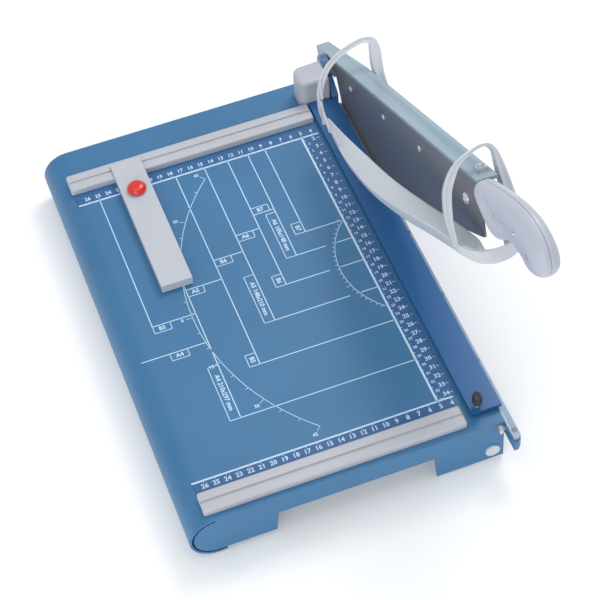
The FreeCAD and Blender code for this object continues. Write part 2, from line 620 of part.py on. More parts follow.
# The tray's cross-section at places along its left side, from the rear hoop to the nose in front of the
# blade's tip: rim (top of the wall), foot (bottom of the wall) and lip (the floor's edge beside the blade).
TRAY_LEFT = [
    ((-36.2, -89.0, -23.0), (-35.7, -89.0, -28.0), (-31.5, -89.0, -27.5)),
    ((-41.5, -131.0, -29.0), (-41.0, -131.0, -35.0), (-30.0, -131.0, -31.8)),
    ((-46.5, -181.0, -33.5), (-45.5, -181.0, -40.0), (-27.5, -181.0, -35.8)),
    ((-48.5, -243.0, -35.5), (-46.5, -243.0, -44.0), (-24.0, -243.0, -40.0)),
    ((-44.0, -299.0, -36.0), (-41.0, -299.0, -47.5), (-16.5, -299.0, -44.0)),
    ((-35.5, -353.0, -36.0), (-31.5, -353.0, -49.5), (-8.5, -353.0, -46.5)),
    ((-28.5, -393.0, -37.5), (-24.0, -391.0, -52.5), (-4.5, -386.0, -49.0)),
    ((-20.0, -403.0, -44.0), (-17.5, -402.0, -57.0), (-4.0, -394.0, -53.0)),
    ((-8.0, -409.0, -48.5), (-7.0, -408.0, -60.5), (-2.5, -398.0, -56.5)),
]
# The right side has no table under it, so its wall runs straighter.
TRAY_RIGHT = [
    ((17.0, -409.0, -48.5), (16.0, -408.0, -60.5), (11.5, -398.0, -56.5)),
    ((25.0, -403.0, -44.0), (23.5, -402.0, -57.0), (13.0, -394.0, -53.0)),
    ((30.5, -393.0, -37.5), (28.5, -391.0, -52.5), (13.5, -386.0, -49.0)),
    ((33.5, -353.0, -36.0), (31.5, -353.0, -49.5), (13.5, -353.0, -46.5)),
    ((35.5, -299.0, -36.0), (34.0, -299.0, -47.5), (14.0, -299.0, -44.0)),
    ((36.0, -243.0, -35.5), (35.0, -243.0, -44.0), (15.0, -243.0, -40.0)),
    ((35.0, -181.0, -33.5), (34.0, -181.0, -40.0), (18.0, -181.0, -35.8)),
    ((31.5, -131.0, -29.0), (31.0, -131.0, -35.0), (21.0, -131.0, -31.8)),
    ((27.6, -89.0, -23.0), (27.1, -89.0, -28.0), (22.5, -89.0, -27.5)),
]
TRAY_NOSE = ((4.5, -410.5, -49.5), (4.5, -409.5, -61.5), (4.5, -399.5, -57.5))


def build_guard_tray():
    wall = size("guard_wall")
    up = Vector(0, 0, wall)
    sections = []
    for rim, foot, lip in (*TRAY_LEFT, TRAY_NOSE, *TRAY_RIGHT):
        rim, foot, lip = Vector(*rim), Vector(*foot), Vector(*lip)
        inward = Vector(lip.x - foot.x, lip.y - foot.y, 0).normalize() * wall
        corners = [rim, foot, lip, lip + up, foot + inward + up, rim + inward]
        sections.append(Part.makePolygon(corners + corners[:1]))
    return Part.makeLoft(sections, True, True)


def arch(points, thickness, width, base, tilt):
    """A flat-strip arch through points in a plane across the arm that leans back by the tilt."""
    outside = [Vector(x, 0, z) for x, z in points]
    inside = []
    for index, point in enumerate(outside):
        before = outside[max(index - 1, 0)]
        after = outside[min(index + 1, len(outside) - 1)]
        along = (after - before).normalize()
        inside.append(point + Vector(along.z, 0, -along.x) * thickness)
    edges = []
    for line in (outside, inside):
        curve = Part.BSplineCurve()
        curve.interpolate(line)
        edges.append(curve.toShape())
    edges.append(Part.makeLine(outside[0], inside[0]))
    edges.append(Part.makeLine(outside[-1], inside[-1]))
    face = Part.Face(Part.Wire(Part.__sortEdges__(edges)))
    strip = face.extrude(Vector(0, width, 0))
    strip.translate(Vector(0, -width / 2, 0))
    strip.Placement = Placement(base, Rotation(Vector(1, 0, 0), -tilt)).multiply(strip.Placement)
    return strip


FRONT_HOOP = [(-29.2, -28.0), (-30.6, -13.0), (-30.2, -2.0), (-25.8, 16.0), (-18.0, 28.0), (-9.0, 35.5),
              (2.0, 40.0), (13.0, 43.0), (20.5, 42.0), (25.0, 36.5), (27.2, 26.0), (28.4, 12.0),
              (29.6, -6.0), (31.6, -28.0)]
REAR_HOOP = [(-39.2, -13.0), (-39.8, 2.0), (-37.0, 16.0), (-30.0, 29.0), (-20.0, 39.5), (-5.0, 47.5),
             (11.0, 52.2), (22.0, 52.5), (29.0, 49.0), (31.2, 39.0), (29.4, 26.0), (28.0, 12.0),
             (30.4, -13.0)]
FRONT_HOOP_FOOT = (0.0, -391.1, -15.5)
REAR_HOOP_FOOT = (0.0, -91.1, -15.5)
GUARD_RIVETS = {
    # along the arm, height, left side's outer face, right side's outer face
    "rear": (-94.5, -26.0, -39.6, 30.8),
    "front": (-399.0, -40.0, -29.6, 32.0),
}


def build_guard():
    tray = shape_item("tray_solid", build_guard_tray())
    strip = (size("hoop_thickness"), size("hoop_width"))
    tilt = size("hoop_tilt")
    front = shape_item("front_hoop_solid", arch(FRONT_HOOP, *strip, Vector(*FRONT_HOOP_FOOT), tilt))
    rear = shape_item("rear_hoop_solid", arch(REAR_HOOP, *strip, Vector(*REAR_HOOP_FOOT), tilt))
    eye = rod("link_eye_disc", "X", "link_left", "0", "-pivot_drop", "link_eye", "link_thickness")
    bar = box("link_bar", "link_left", "-link_reach", "-link_bottom", "link_thickness", "link_reach",
              "link_bottom - link_top")
    arm = box("link_cross", "link_left", "-link_reach - link_thickness",
              "-link_bottom - link_cross_drop", "link_cross", "link_thickness",
              "link_bottom - link_top + link_cross_drop")
    bore = rod("link_bore", "X", "link_left", "0", "-pivot_drop", "bolt_radius + play", "link_thickness")
    rivets = []
    for name, (y, z, left, right) in GUARD_RIVETS.items():
        for side, x in (("left", left), ("right", f"{right} - guard_rivet_length")):
            rivets.append(rod(f"guard_rivet_{name}_{side}", "X", x, y, z, "guard_rivet",
                              "guard_rivet_length"))
    node("guard_tray", ARM, cut("tray_drilled", tray, *rivets))
    node("guard_front_hoop", ARM, cut("front_hoop_drilled", front, tray, *rivets[2:]))
    node("guard_rear_hoop", ARM, cut("rear_hoop_drilled", rear, tray, *rivets[:2]))
    node("guard_rivets", ARM, *rivets)
    node("guard_link", ARM, cut("link_plate", fuse("link_blank", eye, bar, arm), bore, rear))


# ---------------------------------------------------------------- back stop

def build_back_stop():
    plate = box("slide_plate", "-slide_left", "-slide_front", "slide_bottom", "slide_left - slide_right",
                "slide_front + slide_rear", "slide_thickness")
    skirt_outside = box("slide_skirt_outside", "-slide_left", "-slide_front", "slide_gap",
                        "slide_left - slide_right", "slide_front - slide_gap", "slide_bottom - slide_gap")
    skirt_inside = box("slide_skirt_inside", "slide_wall - slide_left", "slide_wall - slide_front",
                       "slide_gap", "slide_left - slide_right - 2 * slide_wall",
                       "slide_front - slide_gap", "slide_bottom - slide_gap")
    skirt = cut("slide_skirt", skirt_outside, skirt_inside)
    rib = box("slide_rib", "slide_wall - slide_left", "rib_near", "rib_bottom",
              "slide_left - slide_right - 2 * slide_wall", "rib_far - rib_near", "slide_bottom - rib_bottom")
    stud = rod("knob_stud_rod", "Z", "-knob_x", "-knob_y", "shoe_bottom", "knob_stud",
               "knob_base + knob_height / 2 - shoe_bottom")
    stud_hole = rod("slide_stud_hole", "Z", "-knob_x", "-knob_y", "shoe_bottom", "knob_stud + play",
                    "knob_base - shoe_bottom")
    shoe = box("shoe_block", "-knob_x - shoe_width / 2", "-shoe_length - slide_gap", "shoe_bottom",
               "shoe_width", "shoe_length", "shoe_height")
    insert = rod("insert_rod", "Z", "-knob_x", "-knob_y", "knob_base", "knob_insert", "knob_height / 2")
    disc = rod("knob_disc", "Z", "-knob_x", "-knob_y", "knob_base", "knob_radius", "knob_height / 2")
    dome = doc.addObject("Part::Cone", "knob_dome")
    bind(dome, Radius1="knob_radius", Radius2="dome_top", Height="knob_height / 2")
    put(dome, "-knob_x", "-knob_y", "knob_base + knob_height / 2")
    node("back_stop_slide", TABLE, cut("slide_drilled", fuse("slide_body", plate, skirt, rib), stud_hole))
    node("back_stop_shoe", TABLE, cut("shoe_drilled", shoe, stud_hole))
    node("back_stop_knob", TABLE, cut("knob_bored", fuse("knob_body", disc, dome), insert))
    node("knob_insert", TABLE, cut("insert_ring", insert, stud))
    node("knob_stud", TABLE, stud)


# ---------------------------------------------------------------- assembly and export

def main():
    table = build_table()
    build_feet()
    holes = [build_plug()]
    holes += build_side_rail()
    holes += build_stop_rail("rear", "0", "+", "rear_stop_left", "rear_stop_right")
    holes += build_stop_rail("front", "-front_stop_y", "-", "front_stop_left", "front_stop_right")
    holes += build_pivot()
    holes += build_cover()
    holes += build_clamp()
    node("base_table", TABLE, cut("table_pierced", table, *holes))
    build_arm()
    build_guard()
    build_back_stop()
    doc.recompute()
    for item in doc.Objects:
        if "Invalid" in item.State or "Error" in item.State:
            raise RuntimeError(f"{item.Name} did not compute: {item.State} {item.getStatusString()}")
    for item in sub_parts:
        if item.Shape.isNull() or not item.Shape.isValid() or not item.Shape.Solids:
            raise RuntimeError(f"{item.Label} has no valid solid")
    whole = FreeCAD.BoundBox()
    for item in sub_parts:
        whole.add(item.Shape.BoundBox)
    print("box", whole)
    os.makedirs("parts", exist_ok=True)
    for item in sub_parts:
        item.Shape.exportStep(f"parts/{item.Label}.step")
        print(f"{item.Label}: {len(item.Shape.Solids)} solids, {item.Shape.Volume:.0f} mm3")


main()
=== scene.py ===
import json
import math

import bmesh
import bpy
from mathutils import Matrix, Vector


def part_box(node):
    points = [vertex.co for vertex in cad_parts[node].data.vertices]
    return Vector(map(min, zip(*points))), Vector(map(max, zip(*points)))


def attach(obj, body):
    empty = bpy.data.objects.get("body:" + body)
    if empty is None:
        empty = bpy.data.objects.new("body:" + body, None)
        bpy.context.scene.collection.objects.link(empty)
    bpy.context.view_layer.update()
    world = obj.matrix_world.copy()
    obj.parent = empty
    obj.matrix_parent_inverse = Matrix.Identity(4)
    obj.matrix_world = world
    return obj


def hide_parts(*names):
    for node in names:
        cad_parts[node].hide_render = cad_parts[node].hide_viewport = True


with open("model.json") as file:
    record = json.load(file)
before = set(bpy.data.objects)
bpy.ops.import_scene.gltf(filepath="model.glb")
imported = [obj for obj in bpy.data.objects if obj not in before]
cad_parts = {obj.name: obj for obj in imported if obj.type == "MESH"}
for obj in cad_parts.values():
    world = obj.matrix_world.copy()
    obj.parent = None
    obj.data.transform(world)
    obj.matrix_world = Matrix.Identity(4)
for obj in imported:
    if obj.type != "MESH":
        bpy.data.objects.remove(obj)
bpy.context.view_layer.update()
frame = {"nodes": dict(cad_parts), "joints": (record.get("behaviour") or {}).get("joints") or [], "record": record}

MM = 0.001
RAISE = math.radians(27)
PIVOT_DROP = 8 * MM

# Table frame: X = 0 is the cutting edge, Y = 0 the rear stop's working edge, Z = 0 the table top.
KNIFE_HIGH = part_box("counter_knife")[1]
ORIGIN = Vector((KNIFE_HIGH.x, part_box("rear_stop_rail")[0].y, KNIFE_HIGH.z))
TABLE = Matrix.Translation(ORIGIN)
# Arm frame: over the pivot, -Y towards the handle, +Z out of the arm's flange.
HINGE = next(joint for joint in frame["joints"] if joint["name"] == "arm_hinge")
ARM = (Matrix.Translation(Vector(HINGE["pos_m"])) @ Matrix.Rotation(-RAISE, 4, "X")
       @ Matrix.Translation(Vector((0, 0, PIVOT_DROP))))


# ---------------------------------------------------------------- materials

def linear(red, green, blue):
    """A colour given as 0-255 screen values, for a shader."""
    def channel(value):
        value /= 255
        return value / 12.92 if value <= 0.04045 else ((value + 0.055) / 1.055) ** 2.4
    return (channel(red), channel(green), channel(blue), 1)


def finish(name, color, rough=0.4, metal=0.0, grain=700, bump=0.02, tint=0.06, wear=0.1, coat=0.0,
           stretch=(1, 1, 1), spread=0.06, ior=1.5):
    """A finish with cloudy colour, grain in its bump and gloss, and lighter worn edges."""
    material = bpy.data.materials.new(name)
    material.use_nodes = True
    tree = material.node_tree
    nodes, links = tree.nodes, tree.links
    shader = nodes["Principled BSDF"]
    shader.inputs["Metallic"].default_value = metal
    shader.inputs["Coat Weight"].default_value = coat
    shader.inputs["IOR"].default_value = ior
    place = nodes.new("ShaderNodeTexCoord")
    squeeze = nodes.new("ShaderNodeMapping")
    squeeze.inputs["Scale"].default_value = stretch
    links.new(place.outputs["Object"], squeeze.inputs["Vector"])

    def noise(scale, detail):
        item = nodes.new("ShaderNodeTexNoise")
        item.inputs["Scale"].default_value = scale
        item.inputs["Detail"].default_value = detail
        links.new(squeeze.outputs["Vector"], item.inputs["Vector"])
        return item.outputs["Fac"]

    def ramp(source, low, high, first, last):
        item = nodes.new("ShaderNodeMapRange")
        item.inputs["From Min"].default_value = low
        item.inputs["From Max"].default_value = high
        item.inputs["To Min"].default_value = first
        item.inputs["To Max"].default_value = last
        links.new(source, item.inputs["Value"])
        return item.outputs["Result"]

    def mix(amount, first, last):
        item = nodes.new("ShaderNodeMix")
        item.data_type = "RGBA"
        links.new(amount, item.inputs["Factor"])
        for socket, value in ((item.inputs["A"], first), (item.inputs["B"], last)):
            if isinstance(value, tuple):
                socket.default_value = value
            else:
                links.new(value, socket)
        return item.outputs["Result"]

    cloud = noise(14, 3)
    dust = noise(grain, 2)
    dark = tuple(value * (1 - tint) for value in color[:3]) + (1,)
    light = tuple(min(1, value * (1 + tint)) for value in color[:3]) + (1,)
    base = mix(ramp(cloud, 0.3, 0.7, 0, 1), dark, light)
    speck = tuple(value * (1 - 1.6 * tint) for value in color[:3]) + (1,)
    base = mix(ramp(dust, 0.56, 0.72, 0, 0.7), base, speck)
    shape = nodes.new("ShaderNodeNewGeometry")
    edge = ramp(shape.outputs["Pointiness"], 0.53, 0.60, 0, wear)
    bare = tuple(value + (1 - value) * 0.45 for value in color[:3]) + (1,)
    links.new(mix(edge, base, bare), shader.inputs["Base Color"])
    links.new(ramp(dust, 0.3, 0.7, rough - spread, rough + spread), shader.inputs["Roughness"])
    relief = nodes.new("ShaderNodeBump")
    relief.inputs["Strength"].default_value = 0.6
    relief.inputs["Distance"].default_value = bump * MM
    links.new(dust, relief.inputs["Height"])
    links.new(relief.outputs["Normal"], shader.inputs["Normal"])
    return material


MAT = {
    "table_blue": finish("table_paint", linear(58, 116, 160), 0.42, grain=1500, bump=0.05,
                         tint=0.05, wear=0.0),
    "clamp_blue": finish("clamp_paint", linear(28, 94, 152), 0.38, grain=1500, bump=0.04,
                         tint=0.06, wear=0.0),
    "bracket_blue": finish("bracket_paint", linear(50, 98, 152), 0.4, grain=1500, bump=0.04,
                           tint=0.06, wear=0.3),
    "rail_grey": finish("rail_paint", linear(188, 190, 197), 0.4, grain=1200, bump=0.03, tint=0.03,
                        wear=0.2),
    "knife_steel": finish("ground_steel", linear(140, 158, 175), 0.5, 0.55, 420, 0.02, 0.10, 0.3,
                          stretch=(6, 0.3, 1)),
    "blade_steel": finish("blade_steel", linear(80, 78, 88), 0.34, 0.45, 420, 0.012, 0.10, 0.3,
                          stretch=(1, 0.25, 2.5), spread=0.05),
    "fastener_steel": finish("plated_steel", linear(215, 218, 222), 0.34, 0.7, 1400, 0.015, 0.06, 0.3),
    "dark_steel": finish("blackened_steel", linear(46, 47, 52), 0.42, 0.7, 1400, 0.02, 0.12, 0.35),
    "spring_steel": finish("spring_wire", linear(160, 163, 170), 0.32, 0.95, 1600, 0.01, 0.08, 0.2),
    "brass": finish("brass", linear(196, 160, 96), 0.32, 0.95, 1400, 0.015, 0.08, 0.25),
    "carrier_grey": finish("carrier_paint", linear(122, 152, 166), 0.36, grain=1500, bump=0.03,
                           tint=0.05, wear=0.3),
    "grip_grey": finish("grip_plastic", linear(186, 190, 203), 0.38, grain=1800, bump=0.03,
                        tint=0.03, wear=0.15),
    "guard_grey": finish("guard_plastic", linear(200, 205, 211), 0.3, grain=2000, bump=0.015,
                         tint=0.03, wear=0.2, coat=0.25),
    "cover_grey": finish("cover_plastic", linear(184, 186, 196), 0.42, grain=1600, bump=0.035,
                         tint=0.03, wear=0.15),
    "stop_grey": finish("stop_plastic", linear(189, 193, 201), 0.4, grain=1600, bump=0.03,
                        tint=0.03, wear=0.15),
    "knob_red": finish("red_plastic", linear(222, 40, 34), 0.24, grain=1800, bump=0.01, tint=0.06,
                       wear=0.25, coat=0.4),
    "knob_black": finish("black_plastic", linear(40, 40, 44), 0.34, grain=1800, bump=0.02,
                         tint=0.10, wear=0.3),
    "foot_rubber": finish("black_rubber", linear(38, 38, 40), 0.75, grain=900, bump=0.06,
                          tint=0.12, wear=0.2),
    "plug_white": finish("white_plastic", linear(196, 202, 206), 0.35, grain=1500, bump=0.015,
                         tint=0.04, wear=0.15),
    "print": finish("screen_print", linear(200, 226, 246), 0.5, grain=2500, bump=0.004, tint=0.06,
                    wear=0.0),
    # Darker blue bands along the three scales, lying against the clamp bar and the two stop rails.
    "scale_band": finish("scale_band_darker_blue", linear(48, 98, 150), 0.46, grain=1800, bump=0.01,
                         tint=0.06, wear=0.0),
}

SLOT_OF = {entry["node"]: entry["material_slot"] for entry in frame["record"]["subparts"]}
for node_name, item in frame["nodes"].items():
    item.data.materials.clear()
    item.data.materials.append(MAT[SLOT_OF[node_name]])


# ---------------------------------------------------------------- mesh building

def piece(name, grid, material, body, stands_for=(), smooth=True):
    """A finished piece from a bmesh whose points are already in the row frame."""
    bmesh.ops.remove_doubles(grid, verts=grid.verts, dist=2e-6)
    bmesh.ops.recalc_face_normals(grid, faces=grid.faces)
    mesh = bpy.data.meshes.new(name)
    grid.to_mesh(mesh)
    grid.free()
    if smooth:
        mesh.polygons.foreach_set("use_smooth", [True] * len(mesh.polygons))
        mesh.set_sharp_from_angle(angle=math.radians(38))
    item = bpy.data.objects.new(name, mesh)
    bpy.context.scene.collection.objects.link(item)
    mesh.materials.append(MAT[material])
    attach(item, body)
    if stands_for:
        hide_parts(*stands_for)
    return item


def loft(grid, rings, closed=True, caps=True):
    """Joins equal rings of points with faces; closed rings may be capped at both ends."""
    rows = [[grid.verts.new(point) for point in ring] for ring in rings]
    count = len(rows[0])
    for near, far in zip(rows, rows[1:]):
        for index in range(count if closed else count - 1):
            following = (index + 1) % count
            grid.faces.new((near[index], near[following], far[following], far[index]))
    if closed and caps:
        grid.faces.new(rows[0])
        grid.faces.new(rows[-1])
    return rows


def spline(points, steps, loop=False):
    """A smooth line through the points (Catmull-Rom)."""
    points = [Vector(point) for point in points]
    count = len(points)
    line = []
    spans = count if loop else count - 1
    for index in range(spans):
        p1, p2 = points[index], points[(index + 1) % count]
        p0 = points[index - 1] if loop or index else 2 * p1 - p2
        p3 = points[(index + 2) % count] if loop or index + 2 < count else 2 * p2 - p1
        for step in range(steps):
            t = step / steps
            line.append(0.5 * (2 * p1 + (p2 - p0) * t + (2 * p0 - 5 * p1 + 4 * p2 - p3) * t * t
                               + (3 * p1 - p0 - 3 * p2 + p3) * t * t * t))
    if not loop:
        line.append(points[-1])
    return line


def lathe(grid, place, profile, sides=48):
    """Turns (radius, height) points round the local Z axis of a placement."""
    rings = []
    for radius, height in profile:
        rings.append([place @ (Vector((radius * math.cos(turn), radius * math.sin(turn), height)) * MM)
                      for turn in (2 * math.pi * step / sides for step in range(sides))])
    loft(grid, rings)


def block(grid, place, low, high, bevel=0.0):
    """A box between two corners of a placement, in millimetres, with bevelled edges."""
    part = bmesh.new()
    bmesh.ops.create_cube(part, size=1)
    low, high = Vector(low), Vector(high)
    for vert in part.verts:
        vert.co = Vector(low[axis] + (vert.co[axis] + 0.5) * (high[axis] - low[axis]) for axis in range(3))
    if bevel:
        bmesh.ops.bevel(part, geom=part.edges[:], offset=bevel, segments=3, profile=0.5, affect="EDGES")
    copies = {vert: grid.verts.new(place @ (vert.co * MM)) for vert in part.verts}
    for face in part.faces:
        grid.faces.new([copies[vert] for vert in face.verts])
    part.free()


def soften(item, width, segments=2):
    """Rounds the sharp edges of a CAD node for its looks."""
    weld = item.modifiers.new("weld", "WELD")
    weld.merge_threshold = 1e-5
    flat = item.modifiers.new("flat", "DECIMATE")
    flat.decimate_type = "DISSOLVE"
    flat.angle_limit = math.radians(1)
    bevel = item.modifiers.new("bevel", "BEVEL")
    bevel.width = width * MM
    bevel.segments = segments
    bevel.limit_method = "ANGLE"
    bevel.angle_limit = math.radians(32)
    even = item.modifiers.new("even", "WEIGHTED_NORMAL")
    even.weight = 100


for node_name, width in {
        "base_table": 0.7, "side_rail": 0.6, "counter_knife": 0.2,
        "clamp_bar": 0.6, "knife_carrier": 0.5, "back_stop_slide": 0.8, "pivot_bracket": 0.5,
        "guard_link": 0.4, "pivot_bolt": 0.4, "pivot_nut": 0.4, "side_rail_bolts": 0.4,
        "bracket_bolts": 0.4, "carrier_nut": 0.35,
        "rubber_feet": 0.7, "back_stop_shoe": 0.5}.items():
    soften(frame["nodes"][node_name], width)


# ---------------------------------------------------------------- print on the table, and darker blue bands beside the scales

PRINT_TOP, LABEL_TOP = 0.08, 0.1
TOP_LINE, BOTTOM_LINE, RULER_LINE = -15.0, -345.0, -51.0


def stroke(grid, start, end, width, low=0.0, high=PRINT_TOP):
    """A printed line on the table between two points."""
    start, end = Vector((*start, 0)), Vector((*end, 0))
    along = (end - start).normalized()
    side = Vector((-along.y, along.x, 0)) * width / 2
    bottom = [start + side, start - side, end - side, end + side]
    rings = [[TABLE @ ((point + Vector((0, 0, height))) * MM) for point in bottom] for height in (low, high)]
    loft(grid, rings)


def arc_point(radius, degrees, grow=0.0):
    """A point of the table on a protractor arc round a spot of the cutting edge."""
    turn = math.radians(degrees)
    return ((radius + grow) * math.cos(turn), ARC_CENTRE + (radius + grow) * math.sin(turn))


def lettering(grid, text, x, y, height, turn=0.0):
    """Generic figures or letters, centred at a point of the table."""
    curve = bpy.data.curves.new("lettering", "FONT")
    curve.body = text
    curve.size = height * 1.35
    curve.align_x = "CENTER"
    curve.align_y = "CENTER"
    curve.extrude = PRINT_TOP / 2
    curve.offset = height * 0.035
    curve.resolution_u = 2
    item = bpy.data.objects.new("lettering", curve)
    mesh = bpy.data.meshes.new_from_object(item)
    place = (TABLE @ Matrix.Scale(MM, 4) @ Matrix.Translation((x, y, PRINT_TOP / 2))
             @ Matrix.Rotation(turn, 4, "Z"))
    mesh.transform(place)
    grid.from_mesh(mesh)
    bpy.data.objects.remove(item)
    bpy.data.curves.remove(curve)
    bpy.data.meshes.remove(mesh)


def frame_box(grid, low, high, width=0.7):
    """A printed label's outline."""
    (x0, y0), (x1, y1) = low, high
    corners = [(x0, y0), (x1, y0), (x1, y1), (x0, y1)]
    for start, end in zip(corners, corners[1:] + corners[:1]):
        stroke(grid, start, end, width, high=LABEL_TOP)


ARC_CENTRE = -179.5
# Darker blue bands along the scales, each lying against the clamp bar or a stop rail.
bands = bmesh.new()
stroke(bands, (-42.4, TOP_LINE), (-42.4, BOTTOM_LINE), 17, high=0.03)
stroke(bands, (-270, -8), (-34, -8), 14, high=0.03)
stroke(bands, (-269, -351.7), (-39, -351.7), 13.4, high=0.03)
piece("scale_bands", bands, "scale_band", "base", smooth=False)

rulers = bmesh.new()
stroke(rulers, (RULER_LINE, TOP_LINE), (RULER_LINE, BOTTOM_LINE), 1.9)
stroke(rulers, (-34, TOP_LINE), (-270, TOP_LINE), 1.7)
stroke(rulers, (-37, BOTTOM_LINE), (-270, BOTTOM_LINE), 1.7)
for mark in range(2, 35):
    y = -10.0 * mark
    stroke(rulers, (-34.6, y), (-37.6 if mark % 5 else -36.4, y), 0.5)
    lettering(rulers, str(mark), -40.8, y, 4.4)
    stroke(rulers, (-50, y), (-48.6, y), 0.5)
    lettering(rulers, str(mark), -46.6, y - 4.6, 2.9)
for mark in range(4, 27):
    x = -10.0 * mark
    stroke(rulers, (x, TOP_LINE), (x, TOP_LINE + 2.4), 0.5)
    lettering(rulers, str(mark), x, TOP_LINE + 5.6, 4.2)
    stroke(rulers, (x, BOTTOM_LINE), (x, BOTTOM_LINE - 2.4), 0.5)
    lettering(rulers, str(mark), x, BOTTOM_LINE - 5.8, 4.6)
piece("ruler_print", rulers, "print", "base", smooth=False)

outlines = bmesh.new()
SHEETS = {"B7": (88, 125), "A6": (105, 148), "B6": (125, 176), "A5": (148, 210), "B5": (176, 250),
          "A4": (210, 297)}
LONG_LABELS = {"A6": 56, "A5": 56, "A4": 60}
SMALL_ARC, LARGE_ARC = 75.0, 214.0
for name, (width, height) in SHEETS.items():
    stroke(outlines, (-width, TOP_LINE), (-width, -height), 0.9)
    inside = abs(height + ARC_CENTRE) < SMALL_ARC
    reach = math.sqrt(max(0.0, SMALL_ARC ** 2 - (height + ARC_CENTRE) ** 2))
    if inside and reach > -RULER_LINE + 4:
        stroke(outlines, (-width, -height), (-reach - 9, -height), 0.9)
        stroke(outlines, (-reach + 1.5, -height), (RULER_LINE, -height), 0.9)
    else:
        stroke(outlines, (-width, -height), (RULER_LINE if name != "B7" else -54, -height), 0.9)
    if name in LONG_LABELS:
        frame_box(outlines, (-width - 9.5, -height), (-width, -height + LONG_LABELS[name]))
        lettering(outlines, f"{name} {width}x{height} mm", -width - 4.8, -height + LONG_LABELS[name] / 2, 4.4,
                  -math.pi / 2)
    else:
        frame_box(outlines, (-width - 9.5, -height), (-width, -height + 13))
        lettering(outlines, name, -width - 4.8, -height + 6.5, 4.4, -math.pi / 2)
LYING = [("B7", 125, 88, 105), ("A6", 148, 105, 125), ("B6", 176, 125, 148), ("A5", 210, 148, 176),
         ("B5", 250, 176, 210), ("A4", 271, 210, 210)]
for name, width, height, until in LYING:
    stroke(outlines, (-width, -height), (-until, -height), 0.9)
    if name == "B7":
        frame_box(outlines, (-width, -height), (-width + 16, -height + 8))
        lettering(outlines, name, -width + 8, -height + 4, 4.4)
    else:
        shift = 26 if name == "A4" else 0
        frame_box(outlines, (-width + shift, -height - 8), (-width + shift + 16, -height))
        lettering(outlines, name, -width + shift + 8, -height - 4, 4.4)
stroke(outlines, (-250, TOP_LINE), (-250, -176), 0.9)
piece("sheet_outlines", outlines, "print", "base", smooth=False)

arcs = bmesh.new()
for radius, tick, label in ((SMALL_ARC, 2.6, 0), (LARGE_ARC, 3.0, 3.6)):
    for degrees in range(135, 225, 3):
        stroke(arcs, arc_point(radius, degrees), arc_point(radius, degrees + 3), 0.6)
    for index in range(0, 91, 5 if radius == LARGE_ARC else 4):
        degrees = 135 + index
        long_tick = index % 15 == 0
        outer = arc_point(radius, degrees, tick * (1.9 if long_tick else 1))
        stroke(arcs, arc_point(radius, degrees), outer, 0.5)
        if label and long_tick:
            lettering(arcs, str(abs(index - 45)), *arc_point(radius, degrees, 9.5), label)
piece("angle_arcs", arcs, "print", "base", smooth=False)


# ---------------------------------------------------------------- handle

def section_ring(corners, radius, steps=3):
    """A closed ring through the corners of a polygon, each rounded by a short curve."""
    ring = []
    count = len(corners)
    for index, corner in enumerate(corners):
        ends = []
        for other in (corners[index - 1], corners[(index + 1) % count]):
            away = other - corner
            ends.append(corner + away.normalized() * min(radius, 0.45 * away.length))
        for step in range(steps + 1):
            t = step / steps
            ring.append(ends[0] * (1 - t) ** 2 + corner * 2 * t * (1 - t) + ends[1] * t * t)
    return ring


SEAM_ROOT, SEAM_TIP, SHELL_DEPTH = 2.4, 9.4, 11.2
HOLLOW_DEPTH, HOLLOW_REACH, RIM = 4.0, 6.5, 0.2
GRIP_OUTLINE = [(-404.5, 7.2), (-424, 9.4), (-445, 9.8), (-464, 8.6), (-480, 5.6), (-491, 1.2), (-500, -5.5),
                (-506, -14), (-508.6, -24), (-507, -34), (-500, -41.5), (-489, -43.5), (-479, -41),
                (-471, -35.5), (-462, -31.3), (-450, -29.6), (-436, -32.5), (-424, -36), (-415.5, -31),
                (-409.5, -16), (-405.5, -2)]
GRIP_SPINE = [(-412, -4), (-430, -8), (-455, -9), (-477, -15), (-490, -24), (-493, -29)]
RECESS = [(-423, -6), (-429, -10), (-438, -14.5), (-448, -18), (-458, -20)]


def nearest(line, point):
    """The point of a line of points, taken as straight runs, that lies nearest, and its distance."""
    best = None
    for start, end in zip(line, line[1:]):
        run = end - start
        share = max(0.0, min(1.0, (point - start).dot(run) / run.length_squared))
        spot = start + run * share
        gap = (point - spot).length
        if best is None or gap < best[1]:
            best = (spot, gap)
    return best


def seam_at(y):
    """How far right of the cutting edge the two shells meet, at a place along the arm."""
    share = max(0.0, min(1.0, (-404 - y) / 100))
    return SEAM_ROOT + (SEAM_TIP - SEAM_ROOT) * share


def grip_shell(name, side, node):
    """Half of the grip: its outline drawn in towards a spine, rising to a full flank with a hollow."""
    outline = spline([Vector(point).to_3d() for point in GRIP_OUTLINE], 8, loop=True)
    spine = spline([Vector(point).to_3d() for point in GRIP_SPINE], 6)
    recess = spline([Vector(point).to_3d() for point in RECESS], 4)
    closing = [nearest(spine, point)[0] for point in outline]
    targets = closing
    for _ in range(8):
        targets = [(targets[index - 1] + targets[index] * 2 + targets[(index + 1) % len(targets)]) / 4
                   for index in range(len(targets))]
    grid = bmesh.new()
    rings = []
    levels = 30
    for level in range(levels + 1):
        turn = math.pi / 2 * level / levels
        rise = math.sin(turn) ** (2 / 2.5) if level else 0.0
        grow = math.cos(turn) ** (2 / 2.3) if level < levels else 0.0
        ring = []
        for point, target, close in zip(outline, targets, closing):
            target = close + (target - close) * grow
            spot = target + (point - target) * grow
            hollow = math.exp(-(nearest(recess, spot)[1] / HOLLOW_REACH) ** 2)
            depth = RIM + (SHELL_DEPTH - RIM) * rise - HOLLOW_DEPTH * hollow * rise ** 2
            ring.append(ARM @ (Vector((seam_at(spot.x) + side * max(RIM, depth), spot.x, spot.y)) * MM))
        rings.append(ring)
    rows = loft(grid, rings, caps=False)
    grid.faces.new(rows[0])
    return piece(name, grid, "grip_grey", "arm", stands_for=(node,))


grip_shell("handle_grip_left", -1, "handle_left_shell")
grip_shell("handle_grip_right", 1, "handle_right_shell")


